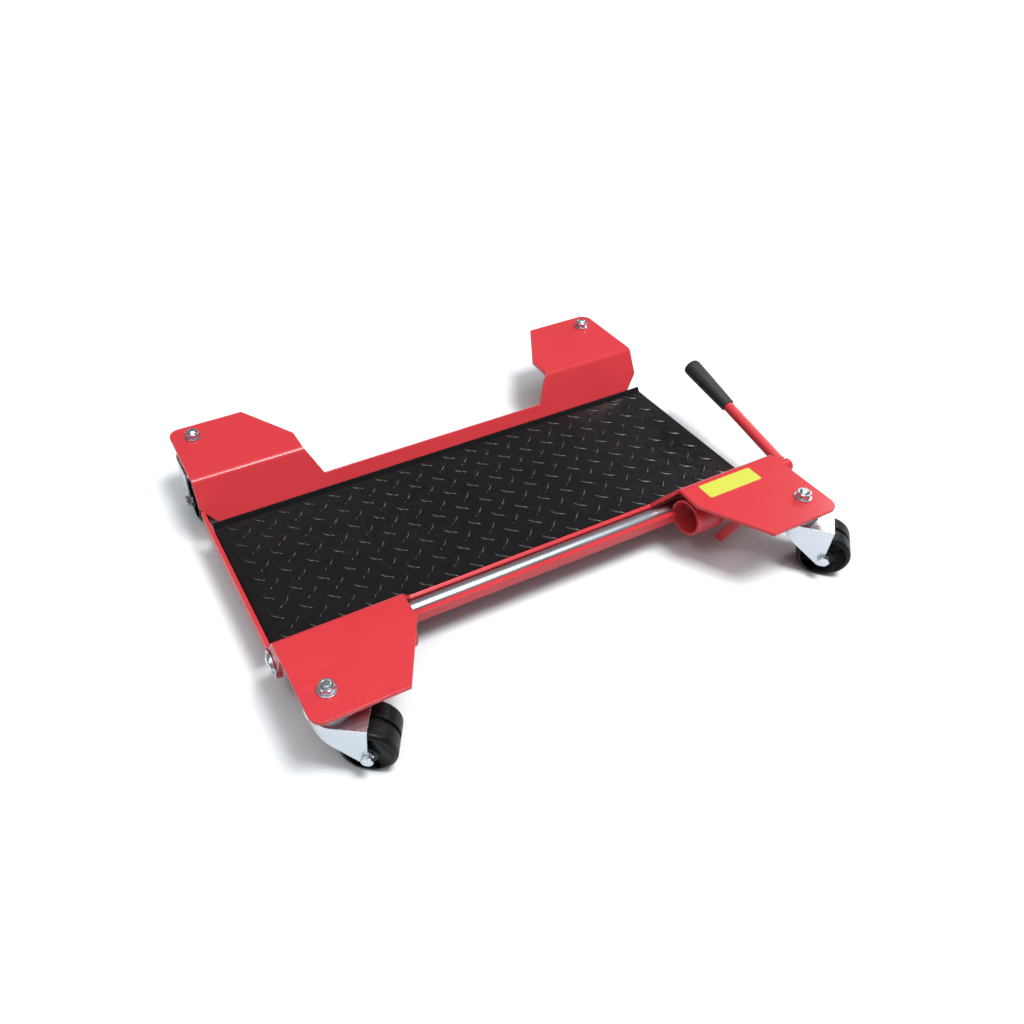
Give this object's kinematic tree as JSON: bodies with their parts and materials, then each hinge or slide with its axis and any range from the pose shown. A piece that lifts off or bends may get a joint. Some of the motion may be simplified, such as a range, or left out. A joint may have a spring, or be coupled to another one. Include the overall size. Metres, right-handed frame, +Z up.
{
  "type": "motorcycle centre stand dolly",
  "caption": "Low bent-sheet dolly with swivel casters, a rubber treadplate mat and a lever-turned floor lock; it carries a motorcycle on its centre stand.",
  "frame": {"origin": "on the floor, under the middle of the whole dolly's outline with its lever", "axes": "+X along the lock shaft towards the lever's end, +Y towards the side away from the shaft, +Z up"},
  "size_m": [0.6144, 0.4478, 0.0891],
  "materials": {
    "red_paint": "gloss red powder coat on sheet steel",
    "mat_rubber": "black moulded rubber with raised treads",
    "zinc_plate": "bright zinc plate on pressed steel",
    "bright_steel": "ground and polished steel",
    "wheel_nylon": "black nylon, worn satin",
    "grip_vinyl": "dark grey dipped vinyl"
  },
  "bodies": {
    "deck": {"deck_plate": "red_paint", "rubber_mat": "mat_rubber", "hanger_left_outer": "red_paint", "hanger_left_inner": "red_paint", "hanger_right_inner": "red_paint", "hanger_right_outer": "red_paint", "guard_strap_left": "red_paint", "guard_strap_right": "red_paint", "mount_bolt_front_left": "zinc_plate", "mount_bolt_front_right": "zinc_plate", "mount_bolt_rear_left": "zinc_plate", "mount_bolt_rear_right": "zinc_plate", "top_race_front_left": "zinc_plate", "top_race_front_right": "zinc_plate", "top_race_rear_left": "zinc_plate", "top_race_rear_right": "zinc_plate", "mount_washer_front_left": "zinc_plate", "mount_washer_front_right": "zinc_plate", "mount_washer_rear_left": "zinc_plate", "mount_washer_rear_right": "zinc_plate", "mount_nut_front_left": "zinc_plate", "mount_nut_front_right": "zinc_plate", "mount_nut_rear_left": "zinc_plate", "mount_nut_rear_right": "zinc_plate"},
    "lock": {"lock_shaft": "zinc_plate", "lock_bar": "red_paint", "foot_ring_left": "red_paint", "foot_ring_right": "red_paint", "shaft_washer_left": "zinc_plate", "shaft_washer_right": "zinc_plate", "retaining_clip_left": "zinc_plate", "retaining_clip_right": "zinc_plate", "lever_hub": "red_paint", "lever_arm": "red_paint", "lever_grip": "grip_vinyl"},
    "front_left_swivel": {"fork_front_left": "zinc_plate", "swivel_balls_front_left": "bright_steel", "axle_bolt_front_left": "zinc_plate", "axle_nut_front_left": "zinc_plate", "axle_sleeve_front_left": "bright_steel"},
    "front_left_wheel": {"wheel_front_left": "wheel_nylon"},
    "front_right_swivel": {"fork_front_right": "zinc_plate", "swivel_balls_front_right": "bright_steel", "axle_bolt_front_right": "zinc_plate", "axle_nut_front_right": "zinc_plate", "axle_sleeve_front_right": "bright_steel"},
    "front_right_wheel": {"wheel_front_right": "wheel_nylon"},
    "rear_left_swivel": {"fork_rear_left": "zinc_plate", "swivel_balls_rear_left": "bright_steel", "axle_bolt_rear_left": "zinc_plate", "axle_nut_rear_left": "zinc_plate", "axle_sleeve_rear_left": "bright_steel"},
    "rear_left_wheel": {"wheel_rear_left": "wheel_nylon"},
    "rear_right_swivel": {"fork_rear_right": "zinc_plate", "swivel_balls_rear_right": "bright_steel", "axle_bolt_rear_right": "zinc_plate", "axle_nut_rear_right": "zinc_plate", "axle_sleeve_rear_right": "bright_steel"},
    "rear_right_wheel": {"wheel_rear_right": "wheel_nylon"}
  },
  "joints": [
    {"name": "lock_turn", "type": "hinge", "parent": "deck", "child": "lock", "pos_m": [-0.02275, -0.09615, 0.043], "axis": [1, 0, 0], "range_deg": [0, 118]},
    {"name": "front_left_swivel_turn", "type": "hinge", "parent": "deck", "child": "front_left_swivel", "pos_m": [-0.27975, -0.16915, 0.07], "axis": [0, 0, 1], "continuous": true},
    {"name": "front_left_wheel_roll", "type": "hinge", "parent": "front_left_swivel", "child": "front_left_wheel", "pos_m": [-0.25073, -0.18872, 0.025], "axis": [0.5592, 0.829, 0], "continuous": true},
    {"name": "front_right_swivel_turn", "type": "hinge", "parent": "deck", "child": "front_right_swivel", "pos_m": [0.23425, -0.16915, 0.07], "axis": [0, 0, 1], "continuous": true},
    {"name": "front_right_wheel_roll", "type": "hinge", "parent": "front_right_swivel", "child": "front_right_wheel", "pos_m": [0.25856, -0.19433, 0.025], "axis": [0.7193, 0.6947, 0], "continuous": true},
    {"name": "rear_left_swivel_turn", "type": "hinge", "parent": "deck", "child": "rear_left_swivel", "pos_m": [-0.27975, 0.20185, 0.07], "axis": [0, 0, 1], "continuous": true},
    {"name": "rear_left_wheel_roll", "type": "hinge", "parent": "rear_left_swivel", "child": "rear_left_wheel", "pos_m": [-0.27975, 0.16685, 0.025], "axis": [1, 0, 0], "continuous": true},
    {"name": "rear_right_swivel_turn", "type": "hinge", "parent": "deck", "child": "rear_right_swivel", "pos_m": [0.23425, 0.20185, 0.07], "axis": [0, 0, 1], "continuous": true},
    {"name": "rear_right_wheel_roll", "type": "hinge", "parent": "rear_right_swivel", "child": "rear_right_wheel", "pos_m": [0.25175, 0.17154, 0.025], "axis": [0.866, 0.5, 0], "continuous": true}
  ]
}
